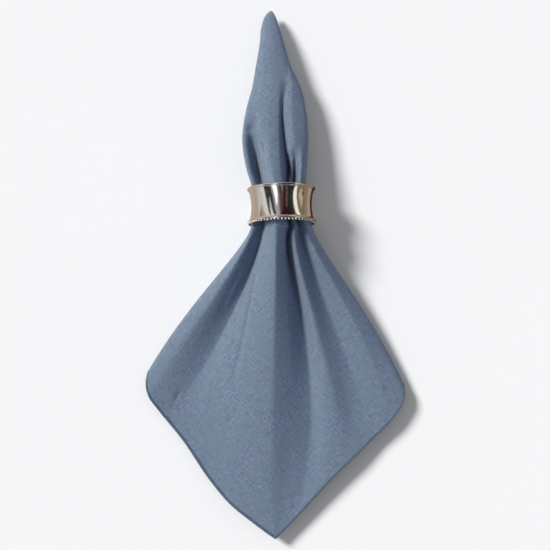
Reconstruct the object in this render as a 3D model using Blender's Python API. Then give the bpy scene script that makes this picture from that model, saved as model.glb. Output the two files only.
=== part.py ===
"""A linen napkin drawn through a silver ring, lying on a table.

The napkin is one square of cloth. Its two side corners are turned behind, so that it is a kite with a
flap behind each side. Its top corner is drawn up through the ring as a cone, and the rest fans out below
the ring in folds. X runs to the right, Y towards the cone's tip and Z up from the table. The origin is
under the middle of the whole.
"""

import math
from collections import namedtuple

import bpy
import numpy as np

MM = 0.001

# Cloth
CLOTH_THICKNESS = 1.2
LOWEST = CLOTH_THICKNESS / 2
LAP = 1.8
STRAIGHT_RUN = 14.0

# Ring, with its axis along the napkin
RING_X = 4.3
RING_Y = 40.0
RING_TURN = math.radians(1.0)
RING_LENGTH = 24.4
RIM_RADIUS = 22.5
WAIST_RADIUS = 20.0
RING_WALL = 1.0
RIM_ROLL = 0.9
ROLL_START = math.radians(-55.0)
ROLL_SWEEP = math.radians(290.0)
ROLL_POINTS = 6
WAIST_POINTS = 7
WAIST_FULLNESS = 0.8
RING_STEPS = 56

# The two lower hems as x and y, from the rounded corner at each side fold to the bottom corner, and how
# far down the side corners lie that are turned behind
HEM_LEFT = (
    (-85.1, -73.5), (-84.6, -80.8), (-79.5, -89.6), (-60.9, -113.7),
    (-41.6, -141.2), (-29.7, -154.9), (-15.1, -166.6), (0.3, -177.7),
)
HEM_RIGHT = (
    (85.3, -78.1), (84.9, -86.7), (80.2, -96.2), (64.2, -113.7),
    (36.9, -139.9), (11.8, -165.9), (0.3, -177.7),
)
TURNED_CORNERS = (-76.0, -74.0)
HEM_REACH = 5

# A row for each section from the tip to the mouth of the ring: its place along the cloth, its left and
# right edges, the height of those edges, how far it rises above them and drops below them, how wide the
# lobe right of the middle valley is against its width in the ring, and how far round the flaps reach
Section = namedtuple("Section", "along left right middle rise drop right_lobe wrap")
SECTIONS = (
    Section(177.4, -4.1, -1.6, 7.2, 1.6, 1.6, 0.7, 0.32),
    Section(174.0, -6.3, -0.2, 8.6, 2.5, 2.5, 0.7, 0.36),
    Section(166.0, -8.9, 2.4, 10.8, 3.8, 3.4, 0.6, 0.42),
    Section(155.0, -9.9, 5.4, 12.5, 5.2, 5.0, 0.4, 0.54),
    Section(135.0, -13.0, 11.3, 13.9, 6.8, 6.6, 0.42, 0.72),
    Section(122.0, -15.2, 17.2, 14.7, 7.8, 7.8, 0.83, 0.82),
    Section(108.0, -18.8, 20.3, 15.8, 8.6, 8.6, 1.10, 0.90),
    Section(86.0, -21.6, 22.1, 17.5, 10.2, 10.2, 1.03, 0.95),
    Section(66.0, -18.8, 21.0, 20.3, 14.0, 14.0, 0.9, 1.0),
    Section(52.0, -14.8, 20.4, 21.5, 17.6, 17.4, 1.0, 1.0),
    Section(40.0, -13.7, 22.3, 22.5, 18.0, 18.0, 1.0, 1.0),
    Section(28.0, -14.9, 23.5, 21.9, 18.4, 17.8, 1.0, 1.0),
    Section(25.5, -15.7, 25.1, 21.2, 19.0, 17.6, 1.0, 1.0),
)

# A row for each fold line of the front, from the left side fold to the right one: its place across the
# ring, its depth there below the round, how far up the cone it runs, where it ends on the hem (-1 left
# corner, 0 bottom, 1 right corner), how far it is drawn sideways above and below the middle of the skirt,
# and its height at the shoulder, in the skirt and at the hem
Fold = namedtuple("Fold", "name across depth top hem flare bow shoulder skirt hem_height")
FOLDS = (
    Fold("left side", 0.0, 0.0, 100.0, -1.0, -4.5, -7.5, 13.0, 7.0, 3.8),
    Fold("left crest", 0.042, 0.8, 104.0, -0.90, -2.0, -1.0, 25.5, 9.8, 4.9),
    Fold("left valley", 0.192, 13.4, 110.0, -0.76, -3.0, 10.0, 13.4, 4.0, 4.5),
    Fold("middle wall", 0.255, 2.5, 105.0, -0.61, -1.0, 6.0, 26.0, 7.5, 4.8),
    Fold("middle crest", 0.40, 0.0, 150.0, -0.02, 0.0, -1.0, 35.0, 17.2, 8.6),
    Fold("middle flank", 0.545, 2.7, 150.0, 0.05, -6.0, 14.0, 27.8, 10.0, 8.3),
    Fold("middle valley", 0.63, 13.0, 138.0, 0.12, -14.0, 35.0, 15.2, 3.7, 8.0),
    Fold("inner crest", 0.71, 2.0, 150.0, 0.50, -6.0, 5.0, 30.3, 13.5, 10.2),
    Fold("inner valley", 0.785, 9.8, 84.0, 0.68, 0.0, 5.0, 19.8, 7.6, 9.2),
    Fold("right crest", 0.887, 1.6, 150.0, 0.82, 0.0, 12.0, 26.2, 14.1, 9.8),
    Fold("right side", 1.0, 0.0, 100.0, 1.0, 3.2, 7.6, 13.0, 6.8, 5.6),
)
DEEPEST_BELOW = 62.0
DEEPENING = 1.3
MIDDLE_VALLEY = 6

# A row for each line of a flap behind, by how far it reaches round from its side fold and how much of the
# lap lifts it over the other flap, first in the ring and then in the skirt, and how far it stands off the
# table in the skirt
FlapLine = namedtuple("FlapLine", "name in_ring ring_lap in_skirt skirt_lap lift")
LEFT_FLAP = (
    FlapLine("free edge", 0.78, 0.0, 0.61, 0.0, 0.0),
    FlapLine("outer", 0.58, 0.0, 0.45, 0.0, 0.0),
    FlapLine("inner", 0.34, 0.0, 0.24, 0.0, 0.25),
    FlapLine("turn", 0.09, 0.0, 0.04, 0.0, 0.6),
)
RIGHT_FLAP = (
    FlapLine("turn", 0.05, 0.1, 0.04, 0.0, 0.6),
    FlapLine("under step", 0.10, 0.4, 0.27, 0.0, 0.25),
    FlapLine("over step", 0.18, 1.0, 0.35, 1.0, 0.0),
    FlapLine("outer", 0.48, 1.0, 0.48, 1.0, 0.0),
    FlapLine("free edge", 0.80, 1.0, 0.60, 1.0, 0.0),
)

# The flaps begin to lap where the cone has wrapped this far round, and lie flat from this share of the
# skirt on. The folds between the outer crests are drawn this far from curves towards straight creases
LAP_STARTS = 0.56
LAP_SPREAD = 0.06
FLAT_FROM = 0.5
CREASED = 0.6

# Columns of the mesh between one fold line and the next, and its rows
FLAP_STEPS = 2
TURN_STEPS = 3
FRONT_STEPS = 4
CONE_ROWS = 15
CONE_CROWDING = 1.3
RING_ROWS = 5
SKIRT_ROWS = 20
SHORTEST_RUN = 0.01

CLOTH_BLUE = (0.17, 0.23, 0.33, 1.0)
SILVER = (0.78, 0.75, 0.70, 1.0)


def clear_scene():
    """Removes whatever the scene already holds."""
    for item in list(bpy.data.objects):
        bpy.data.objects.remove(item, do_unlink=True)


def material(name, colour, roughness, metallic):
    """A plain finish of this colour."""
    made = bpy.data.materials.new(name)
    made.use_nodes = True
    shader = made.node_tree.nodes["Principled BSDF"]
    shader.inputs["Base Color"].default_value = colour
    shader.inputs["Roughness"].default_value = roughness
    shader.inputs["Metallic"].default_value = metallic
    return made


def smooth_curve(knots, values, at, creased=0.0):
    """Values on a smooth curve through the given ones. Creased draws it towards straight runs."""
    steps = np.diff(knots)
    slopes = np.diff(values, axis=0) / steps[:, None]
    tangents = np.concatenate((slopes[:1], slopes[1:], slopes[-1:]))
    before, after = steps[:-1, None], steps[1:, None]
    tangents[1:-1] = (slopes[:-1] * after + slopes[1:] * before) / (before + after)
    span = np.clip(np.searchsorted(knots, at, side="right") - 1, 0, len(steps) - 1)
    t = ((at - knots[span]) / steps[span])[:, None]
    start, end = values[span], values[span + 1]
    leave, arrive = tangents[span] * steps[span][:, None], tangents[span + 1] * steps[span][:, None]
    rise = t * t * (3 - 2 * t)
    curved = start * (1 - rise) + end * rise + leave * t * (1 - t) ** 2 - arrive * t * t * (1 - t)
    straight = start * (1 - t) + end * t
    return curved + (straight - curved) * creased


def bezier(first, second, third, last, t):
    """The value at t on a cubic curve that leaves the first towards the second."""
    return (
        first * (1 - t) ** 3
        + second * 3 * t * (1 - t) ** 2
        + third * 3 * t * t * (1 - t)
        + last * t**3
    )


def smooth_step(t):
    """A rise from 0 to 1 that starts and ends level."""
    t = min(max(t, 0.0), 1.0)
    return t * t * (3 - 2 * t)


def section(along):
    """The cloth's section at this place on the cone or in the ring."""
    rows = np.array(SECTIONS)[::-1]
    return Section(*smooth_curve(rows[:, 0], rows, np.array([along]))[0])


def hem_points(places):
    """Points of the lower hem, from -1 at the left corner, by 0 at the bottom, to 1 at the right one."""
    found = []
    for side, outline in ((-1, HEM_LEFT), (1, HEM_RIGHT)):
        points = np.array(outline)
        lengths = np.linalg.norm(np.diff(points, axis=0), axis=1)
        knots = np.concatenate(([0.0], np.cumsum(lengths))) / lengths.sum()
        found.append(smooth_curve(knots, points, 1 - np.clip(np.multiply(places, side), 0.0, 1.0)))
    return np.where(np.less(places, 0)[:, None], *found)


def flap_points(side, flap, fold, sizes, bottom, flat, free_along):
    """A flap's points behind, on the round of the ring, flattened onto the table as flat goes to 1."""
    half = (sizes.right - sizes.left) / 2
    middle = (sizes.right + sizes.left) / 2
    overlap = min(max((sizes.wrap - LAP_STARTS) / LAP_SPREAD, 0.0), 1.0)
    whole_reach = max(line.in_skirt for line in flap)
    points = []
    for line in flap:
        reach = line.in_ring * sizes.wrap * (1 - flat) + line.in_skirt * flat
        lap = LAP * overlap * (line.ring_lap * (1 - flat) + line.skirt_lap * flat)
        turn = math.pi * reach
        round_x = middle + side * (half - lap) * math.cos(turn)
        round_z = fold[2] - (fold[2] - bottom - lap) * math.sin(turn)
        flat_x = fold[0] - side * 2 * half * reach
        points.append((
            round_x * (1 - flat) + flat_x * flat,
            fold[1] + (free_along - fold[1]) * line.in_skirt / whole_reach,
            round_z * (1 - flat) + (LOWEST + lap + line.lift) * flat,
        ))
    return points


def neck_guides(along):
    """Points of every fold line at one place on the cone or in the ring."""
    sizes = section(along)
    front = []
    for number, fold in enumerate(FOLDS):
        across = fold.across if number < MIDDLE_VALLEY else 1 - (1 - fold.across) * sizes.right_lobe
        grown = min(max((fold.top - along) / (fold.top - DEEPEST_BELOW), 0.0), 1.0) ** DEEPENING
        round_up = math.sqrt(1 - (2 * across - 1) ** 2)
        height = sizes.middle + sizes.rise * round_up - fold.depth * grown
        front.append((sizes.left + (sizes.right - sizes.left) * across, along, height))
    bottom = sizes.middle - sizes.drop
    left = flap_points(-1, LEFT_FLAP, front[0], sizes, bottom, 0.0, along)
    right = flap_points(1, RIGHT_FLAP, front[-1], sizes, bottom, 0.0, along)
    return np.array(left + front + right)


def fall(start, end, t):
    """How far along the cloth a fold line is between the ring's mouth and the hem."""
    return bezier(start, start - STRAIGHT_RUN, (start + end) / 2, end, t)


def skirt_guides(t):
    """Points of every fold line at one place between the mouth of the ring and the hem."""
    mouth = SECTIONS[-1]
    starts = neck_guides(mouth.along)[len(LEFT_FLAP) : -len(RIGHT_FLAP)]
    ends = hem_points([fold.hem for fold in FOLDS])
    front = []
    for start, end, fold in zip(starts, ends, FOLDS):
        front.append((
            bezier(start[0], start[0] + fold.flare, (start[0] + end[0]) / 2 + fold.bow, end[0], t),
            fall(start[1], end[1], t),
            bezier(start[2], fold.shoulder, fold.skirt, fold.hem_height, t),
        ))
    flat = smooth_step(t / FLAT_FROM)
    sizes = mouth._replace(left=front[0][0], right=front[-1][0])
    bottom = (mouth.middle - mouth.drop) * (1 - flat) + LOWEST * flat
    left_along, right_along = (fall(mouth.along, corner, t) for corner in TURNED_CORNERS)
    left = flap_points(-1, LEFT_FLAP, front[0], sizes, bottom, flat, left_along)
    right = flap_points(1, RIGHT_FLAP, front[-1], sizes, bottom, flat, right_along)
    return np.array(left + front + right)


def column_places():
    """Where the mesh's columns stand, counted in fold lines from the left free edge."""
    steps = [FLAP_STEPS] * (len(LEFT_FLAP) - 1) + [TURN_STEPS]
    steps += [FRONT_STEPS] * (len(FOLDS) - 1)
    steps += [TURN_STEPS] + [FLAP_STEPS] * (len(RIGHT_FLAP) - 1)
    places = [0.0]
    for number, count in enumerate(steps):
        places.extend(number + (step + 1) / count for step in range(count))
    return np.array(places)


def column_knots(guides):
    """The run across the cloth to each fold line, and to each column of the mesh."""
    gaps = np.maximum(np.linalg.norm(np.diff(guides, axis=0), axis=1), SHORTEST_RUN)
    knots = np.concatenate(([0.0], np.cumsum(gaps)))
    places = column_places()
    whole = np.minimum(places.astype(int), len(gaps) - 1)
    return knots, knots[whole] + (places - whole) * gaps[whole]


def cloth_row(guides, creased=0.0):
    """One row of the cloth's mesh, on a smooth curve across its fold lines, no lower than the table."""
    knots, at = column_knots(guides)
    first = len(LEFT_FLAP) + 1
    last = first + len(FOLDS) - 3
    between_crests = (at > knots[first]) & (at < knots[last])
    points = smooth_curve(knots, guides, at, np.where(between_crests, creased, 0.0)[:, None])
    points[:, 2] = np.maximum(points[:, 2], LOWEST)
    return points


def skirt_rows():
    """The rows from the ring's mouth to the hem, whose last one is drawn out to the hem's outline."""
    shares = np.linspace(0.0, 1.0, SKIRT_ROWS)
    rows = [cloth_row(skirt_guides(t), CREASED * smooth_step(t / FLAT_FROM)) for t in shares]
    knots, at = column_knots(skirt_guides(1.0))
    hems = [[fold.hem] for fold in FOLDS]
    first = len(LEFT_FLAP)
    last = first + len(FOLDS) - 1
    front = (at >= knots[first]) & (at <= knots[last])
    places = smooth_curve(knots[first : last + 1], np.array(hems), at[front])[:, 0]
    shift = hem_points(places) - rows[-1][front, :2]
    for t, row in zip(shares, rows):
        row[front, :2] += shift * t**HEM_REACH
    return rows


def cloth_rows():
    """The whole cloth as rows of points, from the tip to the hem."""
    tip, mouth = SECTIONS[0].along, SECTIONS[-1].along
    ring_top = RING_Y + RING_LENGTH / 2
    cone = np.linspace(0.0, 1.0, CONE_ROWS, endpoint=False) ** CONE_CROWDING
    rows = [tip + (ring_top - tip) * share for share in cone]
    rows.extend(np.linspace(ring_top, mouth, RING_ROWS, endpoint=False))
    return np.array([cloth_row(neck_guides(along)) for along in rows] + skirt_rows())


def napkin(finish):
    """The whole napkin as one closed sheet."""
    grid = cloth_rows() * MM
    rows, columns = grid.shape[:2]
    faces = []
    for row in range(rows - 1):
        for column in range(columns - 1):
            corner = row * columns + column
            faces.append((corner, corner + columns, corner + columns + 1, corner + 1))
    mesh = bpy.data.meshes.new("napkin")
    mesh.from_pydata(grid.reshape(-1, 3).tolist(), [], faces)
    mesh.shade_smooth()
    mesh.materials.append(finish)
    cloth = bpy.data.objects.new("napkin", mesh)
    bpy.context.scene.collection.objects.link(cloth)
    thickness = cloth.modifiers.new("Cloth thickness", "SOLIDIFY")
    thickness.thickness = CLOTH_THICKNESS * MM
    thickness.offset = 0.0
    return cloth


def ring_profile():
    """The ring's wall from inside its lower rim, round the outside and back down the inside."""
    half = RING_LENGTH / 2 - RIM_ROLL
    roll_radius = RIM_RADIUS - RIM_ROLL
    waist = WAIST_RADIUS - RING_WALL / 2
    heights = np.linspace(-half, half, WAIST_POINTS)
    depth = roll_radius - waist
    middle = roll_radius - depth * (1 - (heights / half) ** 2) ** WAIST_FULLNESS
    outline = []
    for angle in np.linspace(ROLL_START, ROLL_START + ROLL_SWEEP, ROLL_POINTS):
        outline.append((roll_radius + RIM_ROLL * math.cos(angle), half + RIM_ROLL * math.sin(angle)))
    inner = [(radius - RING_WALL / 2, height) for radius, height in zip(middle, heights)]
    outer = [(radius + RING_WALL / 2, height) for radius, height in zip(middle, heights)]
    lower = [(radius, -height) for radius, height in reversed(outline)]
    return outline + inner[-2:0:-1] + lower + outer[1:-1]


def napkin_ring(finish):
    """The turned ring, waisted between two rolled rims, with a flat face of its round underneath."""
    profile = ring_profile()
    mesh = bpy.data.meshes.new("ring")
    half_step = math.pi / RING_STEPS
    along, beside = math.cos(half_step) * MM, math.sin(half_step) * MM
    points = [(radius * along, radius * beside, height * MM) for radius, height in profile]
    edges = [(index, (index + 1) % len(points)) for index in range(len(points))]
    mesh.from_pydata(points, edges, [])
    mesh.materials.append(finish)
    ring = bpy.data.objects.new("ring", mesh)
    bpy.context.scene.collection.objects.link(ring)
    turn = ring.modifiers.new("Turned", "SCREW")
    turn.steps = RING_STEPS
    turn.render_steps = RING_STEPS
    turn.use_merge_vertices = True
    turn.merge_threshold = 0.0001 * MM
    turn.use_smooth_shade = True
    turn.use_normal_flip = True
    ring.location = (RING_X * MM, RING_Y * MM, RIM_RADIUS * along)
    ring.rotation_euler = (-math.pi / 2, 0.0, RING_TURN)
    return ring


def main():
    """Builds the napkin and its ring."""
    clear_scene()
    napkin(material("Blue linen", CLOTH_BLUE, 0.9, 0.0))
    napkin_ring(material("Polished silver", SILVER, 0.15, 1.0))


main()
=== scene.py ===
"""A blue linen napkin drawn through a silver ring, on a pale table in soft studio light."""
import math
from collections import namedtuple

import bpy
import numpy as np
from bpy.props import FloatProperty, FloatVectorProperty, IntProperty, PointerProperty
from mathutils import Matrix, Vector, noise


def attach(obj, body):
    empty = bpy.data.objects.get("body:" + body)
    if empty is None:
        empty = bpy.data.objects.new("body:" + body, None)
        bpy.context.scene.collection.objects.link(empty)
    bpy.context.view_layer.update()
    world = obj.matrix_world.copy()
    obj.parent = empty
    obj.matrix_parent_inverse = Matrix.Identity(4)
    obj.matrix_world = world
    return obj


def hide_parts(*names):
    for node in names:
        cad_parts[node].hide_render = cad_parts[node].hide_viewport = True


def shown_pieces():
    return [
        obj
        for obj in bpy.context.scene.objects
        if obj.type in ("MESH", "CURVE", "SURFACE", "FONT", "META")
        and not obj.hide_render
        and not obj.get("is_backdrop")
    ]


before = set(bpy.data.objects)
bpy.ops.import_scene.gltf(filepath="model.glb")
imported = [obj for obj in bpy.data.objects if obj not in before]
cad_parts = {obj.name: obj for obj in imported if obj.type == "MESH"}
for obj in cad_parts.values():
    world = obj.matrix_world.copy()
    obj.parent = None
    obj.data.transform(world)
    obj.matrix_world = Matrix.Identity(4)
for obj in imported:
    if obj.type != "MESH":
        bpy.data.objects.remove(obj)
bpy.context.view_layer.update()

bl_info = {
    "name": "Linen napkin in a ring",
    "version": (1, 0, 0),
    "blender": (4, 5, 0),
    "location": "3D View > Sidebar > Napkin",
    "description": "A folded linen napkin, its silver ring and the table that it lies on",
    "category": "Object",
}

MM = 0.001

# Cloth, in millimetres. The hem comes no nearer to the table than LOWEST
HALF_CLOTH = 0.35
LOWEST = 0.02
LAP = 1.8
STRAIGHT_RUN = 14.0

# The lower hem, where the front's fold lines end, as x and y from the rounded corner at each side fold to the
# bottom corner. The flaps reach down to TURNED_CORNERS. The rows of the front are drawn out to the hem by
# their way down to the power HEM_REACH
HEM_LEFT = (
    (-84.7, -69.0), (-85.8, -76.8), (-83.6, -85.4), (-78.3, -92.6), (-60.9, -113.7),
    (-41.6, -141.2), (-29.7, -154.9), (-15.1, -166.6), (0.3, -177.7),
)
HEM_RIGHT = (
    (85.3, -77.0), (85.1, -86.7), (80.2, -96.0), (63.2, -113.7),
    (36.2, -139.9), (11.8, -165.9), (0.3, -177.7),
)
TURNED_CORNERS = (-76.0, -74.0)
HEM_REACH = 5

# Sections of the cone and of the cloth in the ring. "rise" and "drop" are the heights above and below the
# middle, "right_lobe" sets how wide the folds on the right are, and "wrap" how far the flaps reach round
Section = namedtuple("Section", "along left right middle rise drop right_lobe wrap")
SECTIONS = (
    Section(177.4, -3.9, -1.8, 7.2, 1.0, 1.0, 0.7, 0.32),
    Section(174.0, -6.3, -0.2, 8.6, 2.5, 2.5, 0.7, 0.36),
    Section(166.0, -8.9, 2.4, 10.8, 3.8, 3.4, 0.6, 0.42),
    Section(155.0, -9.9, 5.4, 12.5, 5.2, 5.0, 0.4, 0.54),
    Section(135.0, -13.0, 11.3, 13.9, 6.8, 6.6, 0.42, 0.72),
    Section(122.0, -15.2, 17.2, 14.7, 7.8, 7.8, 0.83, 0.82),
    Section(108.0, -18.8, 20.3, 15.8, 8.6, 8.6, 1.10, 0.90),
    Section(86.0, -21.6, 22.1, 17.5, 10.2, 10.2, 1.03, 0.95),
    Section(66.0, -18.8, 21.0, 20.3, 14.0, 14.0, 0.84, 1.0),
    Section(52.0, -14.8, 20.4, 21.5, 17.6, 17.4, 1.0, 1.0),
    Section(40.0, -13.7, 22.3, 22.5, 18.0, 18.0, 1.0, 1.0),
    Section(28.0, -14.9, 23.5, 21.9, 18.4, 17.8, 1.0, 1.0),
    Section(25.5, -15.7, 25.1, 21.2, 19.0, 17.6, 1.0, 1.0),
)

# Fold lines of the front, from the left side fold to the right one. "across" is each one's share of the width
# in the ring, "depth" how far it lies below the section's round there, "top" how far up the cone it runs, and
# "hem" its end. "flare" and "bow" draw it sideways above and below the middle of the skirt, "shoulder" and
# "skirt" are its heights there, and "steps" the mesh columns up to the next one
Fold = namedtuple("Fold", "name across depth top hem flare bow shoulder skirt hem_height steps")
FOLDS = (
    Fold("left side", 0.0, 0.0, 100.0, -1.0, -4.5, -7.5, 13.0, 7.0, 3.8, 3),
    Fold("left edge", 0.008, 0.3, 100.0, -0.985, -4.3, -7.4, 16.5, 8.4, 4.4, 4),
    Fold("left crest", 0.022, 1.4, 106.0, -0.89, -2.0, 1.0, 25.5, 11.2, 5.9, 18),
    Fold("left valley", 0.195, 14.0, 110.0, -0.745, -3.0, 15.0, 13.0, 3.3, 4.1, 10),
    Fold("middle wall", 0.26, 2.5, 105.0, -0.61, -1.0, 6.0, 26.0, 7.6, 4.8, 26),
    Fold("middle crest", 0.40, 0.0, 150.0, -0.02, 0.0, -1.0, 35.0, 17.4, 8.3, 10),
    Fold("middle flank", 0.55, 2.6, 150.0, 0.05, -6.0, 14.0, 28.0, 10.0, 8.3, 9),
    Fold("middle valley", 0.64, 13.5, 138.0, 0.12, -14.0, 35.0, 14.5, 3.5, 8.5, 9),
    Fold("inner crest", 0.712, 3.2, 150.0, 0.50, -6.0, 5.0, 30.5, 13.6, 10.2, 9),
    Fold("inner valley", 0.778, 10.0, 84.0, 0.68, 0.0, 5.0, 19.5, 7.2, 9.2, 12),
    Fold("right crest", 0.885, 0.5, 150.0, 0.82, 0.0, 12.0, 26.5, 14.2, 9.8, 12),
    Fold("right edge", 0.973, 0.4, 100.0, 0.985, 3.0, 7.0, 18.0, 10.8, 7.8, 4),
    Fold("right side", 1.0, 0.0, 100.0, 1.0, 3.2, 7.6, 13.0, 6.6, 5.5, 0),
)
# The folds reach their whole depth at this place on the cone, by this power. Two of the lines by their number
DEEPEST_BELOW = 62.0
DEEPENING = 1.3
MIDDLE_CREST = 5
MIDDLE_VALLEY = 7

# Fold lines of each flap, as shares of half a turn in the ring and of the skirt's width. Each laps the other
# flap and is lifted off the table by so much
FlapLine = namedtuple("FlapLine", "name in_ring ring_lap in_skirt skirt_lap lift")
LEFT_FLAP = (
    FlapLine("free edge", 0.78, 0.0, 0.61, 0.0, 0.0),
    FlapLine("outer", 0.58, 0.0, 0.45, 0.0, 0.0),
    FlapLine("inner", 0.34, 0.0, 0.24, 0.0, 0.25),
    FlapLine("turn", 0.09, 0.0, 0.04, 0.0, 0.6),
)
RIGHT_FLAP = (
    FlapLine("turn", 0.05, 0.1, 0.04, 0.0, 0.6),
    FlapLine("under step", 0.10, 0.4, 0.27, 0.0, 0.25),
    FlapLine("over step", 0.18, 1.0, 0.35, 1.0, 0.0),
    FlapLine("outer", 0.48, 1.0, 0.48, 1.0, 0.0),
    FlapLine("free edge", 0.80, 1.0, 0.60, 1.0, 0.0),
)

# The flaps lap from this much wrap on, and lie flat from this share of the way down. The last two say how
# straight the cloth runs from one fold line to the next, in the skirt and in the ring
LAP_STARTS = 0.56
LAP_SPREAD = 0.06
FLAT_FROM = 0.5
CREASED = 0.5
NECK_CREASED = 0.4

# Soft troughs (depth above 0) and ridges (below 0) on the front, from one point by a second to a third
Crease = namedtuple("Crease", "name x0 y0 x1 y1 x2 y2 depth width")
CREASES = (
    Crease("hairline beside the middle", -8.5, 15.0, -17.6, -35.0, -27.9, -77.0, 1.3, 1.3),
    Crease("pinch in the cone", -9.2, 86.0, -7.0, 79.8, -6.6, 71.0, 1.3, 0.8),
    Crease("ridge in the left hollow", -18.5, 2.0, -24.5, -8.0, -31.5, -24.0, -0.7, 1.1),
    Crease("left hollow in the cone", -16.6, 92.0, -12.2, 72.0, -7.0, 53.0, 5.4, 3.6),
    Crease("hollow above the ring", 9.0, 72.0, 11.4, 60.0, 11.8, 52.0, 8.0, 3.4),
    Crease("dent above the ring", -6.6, 61.0, -5.9, 58.3, -5.4, 55.0, 0.8, 1.3),
    Crease("nick by the left hem", -63.2, -81.0, -64.9, -85.4, -67.2, -89.5, 0.9, 1.3),
    Crease("pucker low on the left hem", -39.8, -126.4, -42.3, -128.5, -44.6, -131.2, 0.6, 1.2),
    Crease("pucker by the bottom corner", 3.2, -164.3, -1.3, -165.9, -6.3, -168.0, 0.35, 0.8),
    Crease("soft streak", -21.2, -87.4, -27.1, -99.2, -32.4, -113.7, 0.4, 2.2),
    Crease("second soft streak", -25.8, -90.7, -31.1, -101.9, -37.7, -111.1, 0.35, 2.0),
    Crease("hollow on the right", 45.5, -78.0, 49.7, -90.7, 53.0, -106.0, 0.7, 5.0),
)
CREASE_SAMPLES = 80
CREASE_END = 0.06

# Slight unevenness all over the front, which starts below the tip
UNEVEN_HEIGHT = 0.30
UNEVEN_ACROSS = 26.0 / 1.7
UNEVEN_ALONG = 26.0 / 0.8
UNEVEN_PLACE = 3.1
UNEVEN_FROM_ROW = 60

# Columns of the mesh behind, between one line and the next, and its rows
FLAP_STEPS = 5
TURN_STEPS = 8
CONE_ROWS = 96
CONE_CROWDING = 1.15
RING_ROWS = 12
SKIRT_ROWS = 130
SHORTEST_RUN = 0.01

# Rolled hem: how wide it shows and how far it hangs over the edge, along the hem as in FOLDS
HemWidth = namedtuple("HemWidth", "place width overhang")
HEM_WIDTHS = (
    HemWidth(-2.6, 1.8, 0.2),
    HemWidth(-1.02, 0.5, 0.1),
    HemWidth(-0.93, 1.2, 0.3),
    HemWidth(-0.82, 1.7, 0.4),
    HemWidth(-0.45, 1.8, 0.45),
    HemWidth(-0.04, 1.8, 0.45),
    HemWidth(0.03, 1.2, 0.35),
    HemWidth(0.5, 1.0, 0.3),
    HemWidth(0.98, 0.8, 0.2),
    HemWidth(2.6, 1.8, 0.2),
)
# Its outline across: the share of its width inwards from the cloth's edge, then the overhang's share, then
# the height over the cloth
HEM_OUTLINE = (
    (0.0, -1.0, -0.15), (0.0, -0.8, 0.35), (0.10, 0.0, 0.72), (0.40, 0.0, 0.85), (0.75, 0.0, 0.74),
    (0.95, 0.0, 0.50), (1.0, 0.0, 0.15), (1.0, 0.0, -0.30), (0.5, 0.0, -0.60), (0.05, 0.0, -0.62),
    (0.0, -0.8, -0.48),
)
# How far apart a flap's lines are in those places, the row that shows the way inwards from the edge, the
# hem's own steps and its UV's girth, and how much its width varies
FLAP_HEM_STEP = 0.2
HEM_INNER_ROW = 10
HEM_STEP = 0.8
HEM_GIRTH = 8.0
HEM_WOBBLE = 0.16
HEM_WOBBLE_LENGTH = 7.0
HEM_WOBBLE_PLACE = 5.0

# Stitches beside the rolled hem, as small rods with blunt ends
STITCH_LENGTH = 2.0
STITCH_PITCH = 2.2
STITCH_RADIUS = 0.3
STITCH_INSET = 0.45
STITCH_LIFT = 0.42
STITCH_MARGIN = 1.0
STITCH_SIDES = 6
STITCH_RINGS = 5
STITCH_END = 0.02
# The thread is drawn dark: partly its own colour, partly painted shade of the gap beside the rolled hem
THREAD_AND_SHADE_COLOUR = "#2C3947"

# How strongly the weave stands out, on the cloth and on its hem
WEAVE_DEPTH = 0.5
HEM_DEPTH = 0.6

# Ring, turned about an axis along the napkin
RING_X = 4.3
RING_Y = 40.0
RING_TURN = math.radians(1.0)
RING_LENGTH = 24.4
RIM_RADIUS = 22.5
AXIS_HEIGHT = 22.4646
WAIST_RADIUS = 20.0
RING_WALL = 1.0
RIM_ROLL = 0.9
LIP_ROLL = 0.55
WAIST_FULLNESS = 0.8
RING_STEPS = 160
WALL_STEPS = 41
BEAD_RADIUS = 0.68
BEAD_RINGS = 8
BEAD_SIDES = 12
BEADS_DULLER = 2.7

# The rolls at the rims, each from one angle to another in degrees, in so many points
Roll = namedtuple("Roll", "start end points")
UPPER_ROLL = Roll(-55, 235, 22)
LOWER_ROLL = Roll(180, 415, 16)
LIP_INSET = 0.1
LIP_HEIGHT = 0.9
HIDDEN_BY_LIP = 4

CAMERA_HEIGHT = math.radians(84.0)
CAMERA_AWAY = 800.0
AIM = (0.0, -4.35, 10.0)
FRAME_WIDTH = 367.4
SENSOR = 36.0
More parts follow.
